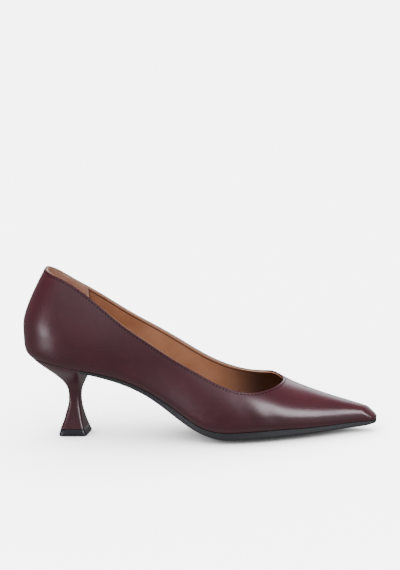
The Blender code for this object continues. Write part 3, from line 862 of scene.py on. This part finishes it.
class COURTSHOE_OT_sock(bpy.types.Operator):
    """Tan sock and the board under it"""
    bl_idname = "court_shoe.sock"
    bl_label = "Sock"

    def execute(self, context):
        steps = np.array(crowded(-1.0, 0.0, 40) + crowded(0.0, 1.0, 150) + [1.0])
        top = GAP + INSOLE_THICKNESS + SOCK_LIFT
        shares = np.linspace(0, 1, 41)
        low = self.edges(steps, GAP)
        high = self.edges(steps, top)
        rows = [low[0] * (1 - share) + low[1] * share for share in shares[::-1]]
        rows += [high[0] * (1 - share) + high[1] * share for share in shares] + rows[:1]
        rows = np.array(rows)
        sock = join("sock", [woven_grid("sock", len(steps) - 1, len(rows) - 1, lambda i, j: rows[j, i])])
        add_attribute(sock, "below_topline", np.full(len(sock.data.vertices), 0.01))
        add_attribute(sock, "light_reaches", np.ones(len(sock.data.vertices)))
        finish_piece(close_ends(sock), material_of(lining_calf), ("insole",), 50)
        return {"FINISHED"}

    def edges(self, steps, height):
        """The two edges of the sock at a height over the feather edge, along the lining."""
        found = []
        for side in (-1, 1):
            along = wall(steps, side, 0.0)[:, 0] + HEEL_CENTRE
            end = wall(steps, side, height / WIDEST(along), WALL + SOCK_GAP)
            end[:, 2] = feather_height(along) + height
            found.append(end)
        return found


class COURTSHOE_OT_outsole(bpy.types.Operator):
    """Black outsole with a rounded, trimmed edge"""
    bl_idname = "court_shoe.outsole"
    bl_label = "Outsole"

    def execute(self, context):
        steps = np.array(crowded(step_at(BREAST_AT + GAP), 1.0, 190) + toe_columns())
        shares = np.concatenate(
            (np.linspace(0, 0.08, 8), np.linspace(0.10, 0.90, 34), np.linspace(0.92, 1.0, 8)))
        sides = np.linspace(0, 1, 9)[:-1]
        # Row by row down the outer side, across below and up the inner side
        row_shares = np.concatenate((0 * sides, shares, 0 * sides + 1))
        row_drops = np.concatenate((sides, np.ones(len(shares)), sides[::-1]))

        def place(i, j):
            outer, inner = self.edges(steps, i)
            share = row_shares[j]
            point = outer + (inner - outer) * share[:, None]
            along = point[:, 0] + HEEL_CENTRE
            edge = feather_height(along) - GAP
            thick = SOLE_EDGE(along)
            width = np.linalg.norm(inner - outer, axis=1)
            corner = np.minimum(SOLE_CORNER / np.maximum(width, 0.001), 0.2)
            near = np.minimum(share, 1 - share) / corner
            round_in = np.sqrt(np.clip(1 - (1 - np.clip(near, 0, 1)) ** 2, 0, 1))
            crown = 1 - np.abs(2 * share - 1) ** 2.5
            depth = UPRIGHT_SHARE + (1 - UPRIGHT_SHARE) * round_in
            bottom = edge - thick * depth - SOLE_DROP(along) * crown
            bottom = np.maximum(bottom, 0.0)
            point[:, 2] = edge - (edge - bottom) * row_drops[j]
            return point

        sheet = woven_grid("outsole_sheet", len(steps) - 1, len(row_drops) - 1, place)
        top = woven_grid("outsole_top", len(steps) - 1, 4, lambda i, j: self.top_place(steps, i, j))
        outsole = close_ends(join("sole_unit", [sheet, top]))
        finish_piece(outsole, material_of(sole_leatherboard), ("outsole",), 35)
        return {"FINISHED"}

    def edges(self, steps, i):
        """Both edges of the sole's sections, which slope at the breast as the heel's front does."""
        fading = np.clip(1 - (steps[i] - steps[0]) / BREAST_SLOPE_FADES, 0, 1) ** 2
        slope = BREAST_SKEW / (TOE_CAP_AT - HEEL_CENTRE)
        return [wall(steps[i] + side * EDGE[side](BREAST_AT) * slope * fading, side, 0.0) for side in (-1, 1)]

    def top_place(self, steps, i, j):
        """The sole's upper face under the upper's feather edge."""
        outer, inner = self.edges(steps, i)
        point = outer + (inner - outer) * (j / 4)[:, None]
        point[:, 2] = feather_height(point[:, 0] + HEEL_CENTRE) - GAP
        return point


def ring_values(table, place):
    """The heel table's numbers at any place between its rows."""
    ups = [row.up for row in table]
    return [float(Curve(ups, [getattr(row, name) for row in table])(place)) for name in Ring._fields[1:]]


def heel_ring(height, count, shrink=0.0):
    """Closed outline of the heel at a height over the ground, measured at the heel's centre."""
    seat = float(feather_height(HEEL_CENTRE)) - GAP
    over_neck = height >= NECK_HEIGHT
    if over_neck:
        place = (height - NECK_HEIGHT) / (seat - NECK_HEIGHT)
    else:
        place = (NECK_HEIGHT - height) / NECK_HEIGHT
    back, front, side, square_back, square_front = ring_values(SPOOL if over_neck else FLARE, place)
    neck = (NECK_LENGTH / 2 - NECK_AHEAD, NECK_LENGTH / 2 + NECK_AHEAD, NECK_WIDTH / 2, NECK_WIDTH / 2)
    if over_neck:
        edges = [float(EDGE[s](HEEL_CENTRE)) - SEAT_INSET for s in (-1, 1)]
        far = (HEEL_CENTRE - BACK_TURN_IN - SEAT_INSET, BREAST_AT - HEEL_CENTRE, *edges)
    else:
        far = (TIP_LENGTH / 2, TIP_LENGTH / 2, TIP_WIDTH / 2, TIP_WIDTH / 2)
    reaches = [n + (f - n) * s - shrink for n, f, s in zip(neck, far, (back, front, side, side))]
    turn = np.arange(count) * 2 * math.pi / count
    cosine, sine = np.cos(turn), np.sin(turn)
    square = np.where(cosine > 0, square_front, square_back)
    y = np.sign(sine) * np.abs(sine) ** (2 / square) * np.where(sine < 0, reaches[2], reaches[3])
    reach = np.where(cosine > 0, reaches[1] + BREAST_SKEW * y, reaches[0])
    x = np.sign(cosine) * np.abs(cosine) ** (2 / square) * reach
    slope = feather_height(HEEL_CENTRE + x) - float(feather_height(HEEL_CENTRE))
    return np.stack((x, y, height + (slope * place if over_neck else 0.0 * x)), axis=-1)


def stacked_rings(name, rings):
    """A closed solid from rings stacked on each other."""
    rings = np.array(rings)
    count = rings.shape[1]
    body = woven_grid(name, count, len(rings) - 1, lambda i, j: rings[j, i % count])
    return close_ends(join(name, [body]))


class COURTSHOE_OT_heel(bpy.types.Operator):
    """Leather-covered spool heel and its tip"""
    bl_idname = "court_shoe.heel"
    bl_label = "Heel"

    def execute(self, context):
        seat = float(feather_height(HEEL_CENTRE)) - GAP
        heights = np.concatenate(
            (np.linspace(TIP_THICKNESS, NECK_HEIGHT, 40), np.linspace(NECK_HEIGHT, seat, 60)[1:]))
        heel = stacked_rings("covered_heel", [heel_ring(height, HEEL_POINTS) for height in heights])
        finish_piece(heel, material_of(burgundy_calf), ("heel",), 50)
        top = TIP_THICKNESS - GAP
        # Each ring's height over the ground and how far its rounded edge draws it in
        levels = (
            (0.0, 0.0005), (0.00015, 0.00015), (0.0005, 0.0), (top / 2, 0.0), (top - 0.0003, 0.0),
            (top, 0.0002))
        tip = stacked_rings("wear_tip", [heel_ring(height, HEEL_POINTS, shrink) for height, shrink in levels])
        finish_piece(tip, material_of(tip_urethane), ("heel_tip",), 35)
        return {"FINISHED"}


SoftBox = namedtuple("SoftBox", "name place target size radiance diffuse gloss")
SOFT_BOXES = (
    SoftBox("front_box", (0.95, -0.86, 0.48), (0.15, -0.02, 0.02), (0.45, 0.90), 18.0, False, True),
    SoftBox("back_panel", (0.10, 2.8, 0.85), (0.10, 0.0, 0.05), (3.4, 1.1), 3.0, False, True),
    SoftBox("left_panel", (-0.92, -0.88, -0.03), (0.0, -0.02, 0.08), (0.50, 0.40), 10.0, False, True),
    SoftBox("camera_side_box", (-0.10, -1.6, 0.95), (0.06, 0.0, 0.05), (1.6, 0.5), 0.7, False, True),
    SoftBox("camera_side_fill", (0.0, -1.9, 1.1), (0.06, 0.0, 0.05), (1.6, 0.9), 3.2, True, False),
)
BOX_TINT = (0.92, 0.94, 1.0)

# The broad overhead light: strength, width and tilt in degrees
CEILING_STRENGTH = 4.0
CEILING_SPREAD = 75
CEILING_TILT = (-12, -8, 0)

# The camera's angles in degrees, what it is turned about, and its place and lens
CAMERA_ANGLES = (8.0, 14.5, 2.7)
CAMERA_PIVOT = (0.0, -0.0093, 0.0)
CAMERA_BACK = 2.5
CAMERA_RIGHT = 0.0903
CAMERA_UP = 0.10772
CAMERA_LENS = 148.05


class COURTSHOE_OT_stage(bpy.types.Operator):
    """Floor, lights and camera"""
    bl_idname = "court_shoe.stage"
    bl_label = "Studio"

    def execute(self, context):
        studio = context.scene.court_shoe_studio
        clear_selection()
        bpy.ops.mesh.primitive_plane_add(size=studio.floor_size, location=(0.1, 1.5, -0.0001))
        floor = context.object
        floor.name = "studio_floor"
        floor.data.materials.append(studio_paper(studio))
        floor.visible_glossy = False
        floor.visible_diffuse = False
        # The soft box at the heel's side reaches below the floor, which therefore stops no light
        floor.visible_shadow = False
        self.add_room(context, studio)
        self.add_sky(context)
        for box in SOFT_BOXES:
            self.add_box(box)
        self.add_camera(context)
        return {"FINISHED"}

    def add_room(self, context, studio):
        """Even room light, with the floor's light coming up from below."""
        world = bpy.data.worlds.new("studio")
        context.scene.world = world
        world.use_nodes = True
        tree = world.node_tree
        background = tree.nodes["Background"]
        background.inputs["Color"].default_value = (1.0, 1.0, 1.0, 1.0)
        direction = add(tree, "ShaderNodeTexCoord").outputs["Generated"]
        height = add(tree, "ShaderNodeSeparateXYZ", links={"Vector": direction}).outputs["Z"]
        strength = add(tree, "ShaderNodeMapRange", {"interpolation_type": "SMOOTHSTEP"}, {
            "Value": height, "From Min": -1.0, "From Max": -0.2, "To Min": studio.ground_light,
            "To Max": studio.sky})
        tree.links.new(strength.outputs["Result"], background.inputs["Strength"])

    def add_sky(self, context):
        """The broad overhead light, which evens the floor and gives the soft shadow."""
        lamp = bpy.data.lights.new("ceiling", "SUN")
        lamp.energy = CEILING_STRENGTH
        lamp.angle = math.radians(CEILING_SPREAD)
        item = bpy.data.objects.new("ceiling", lamp)
        context.scene.collection.objects.link(item)
        item.rotation_euler = [math.radians(angle) for angle in CEILING_TILT]
        item.visible_glossy = False

    def add_box(self, box):
        """A cool soft box that faces a target, unseen by the camera."""
        lamp = bpy.data.lights.new(box.name, "AREA")
        lamp.shape = "RECTANGLE"
        lamp.size, lamp.size_y = box.size
        lamp.energy = box.radiance * math.pi * box.size[0] * box.size[1]
        lamp.color = BOX_TINT
        item = bpy.data.objects.new(box.name, lamp)
        bpy.context.scene.collection.objects.link(item)
        item.location = box.place
        item.rotation_euler = (Vector(box.target) - Vector(box.place)).to_track_quat("-Z", "Y").to_euler()
        item.visible_camera = False
        item.visible_diffuse = box.diffuse
        item.visible_glossy = box.gloss

    def add_camera(self, context):
        """The camera, placed by the angles that fit the sole's line in the photograph."""
        yaw, pitch, roll = [math.radians(angle) for angle in CAMERA_ANGLES]
        back = Vector((math.sin(yaw) * math.cos(pitch), -math.cos(yaw) * math.cos(pitch), math.sin(pitch)))
        level_right = Vector((math.cos(yaw), math.sin(yaw), 0.0))
        level_up = back.cross(level_right)
        right = level_right * math.cos(roll) - level_up * math.sin(roll)
        up = level_right * math.sin(roll) + level_up * math.cos(roll)
        eye = Vector(CAMERA_PIVOT) + back * CAMERA_BACK + right * CAMERA_RIGHT + up * CAMERA_UP
        lens = bpy.data.cameras.new("camera")
        lens.sensor_fit = "VERTICAL"
        lens.sensor_height = 24.0
        lens.lens = CAMERA_LENS
        lens.clip_end = 50.0
        camera = bpy.data.objects.new("camera", lens)
        context.scene.collection.objects.link(camera)
        turned = Matrix((right, up, back)).transposed().to_4x4()
        turned.translation = eye
        camera.matrix_world = turned
        context.scene.camera = camera


class COURTSHOE_PT_panel(bpy.types.Panel):
    """Panel with the shoe's operators and settings"""
    bl_idname = "COURTSHOE_PT_panel"
    bl_label = "Court shoe"
    bl_space_type = "VIEW_3D"
    bl_region_type = "UI"
    bl_category = "Court shoe"

    def draw(self, context):
        for name in CourtShoeSizes.__annotations__:
            self.layout.prop(context.scene.court_shoe_sizes, name)
        for name in CourtShoeStudio.__annotations__:
            self.layout.prop(context.scene.court_shoe_studio, name)
        for operator in OPERATORS:
            self.layout.operator(operator.bl_idname)


OPERATORS = (
    COURTSHOE_OT_upper, COURTSHOE_OT_lining, COURTSHOE_OT_sock, COURTSHOE_OT_outsole, COURTSHOE_OT_heel,
    COURTSHOE_OT_stage)
CLASSES = (CourtShoeSizes, CourtShoeStudio) + OPERATORS + (COURTSHOE_PT_panel,)


def register():
    """Register the classes and their settings."""
    for item in CLASSES:
        bpy.utils.register_class(item)
    bpy.types.Scene.court_shoe_sizes = PointerProperty(type=CourtShoeSizes)
    bpy.types.Scene.court_shoe_studio = PointerProperty(type=CourtShoeStudio)


def unregister():
    """Take the classes and their settings away again."""
    del bpy.types.Scene.court_shoe_studio
    del bpy.types.Scene.court_shoe_sizes
    for item in reversed(CLASSES):
        bpy.utils.unregister_class(item)


def main():
    """Make every piece and the studio."""
    register()
    bpy.ops.court_shoe.upper()
    bpy.ops.court_shoe.lining()
    bpy.ops.court_shoe.sock()
    bpy.ops.court_shoe.outsole()
    bpy.ops.court_shoe.heel()
    bpy.ops.court_shoe.stage()


if __name__ == "__main__":
    main()
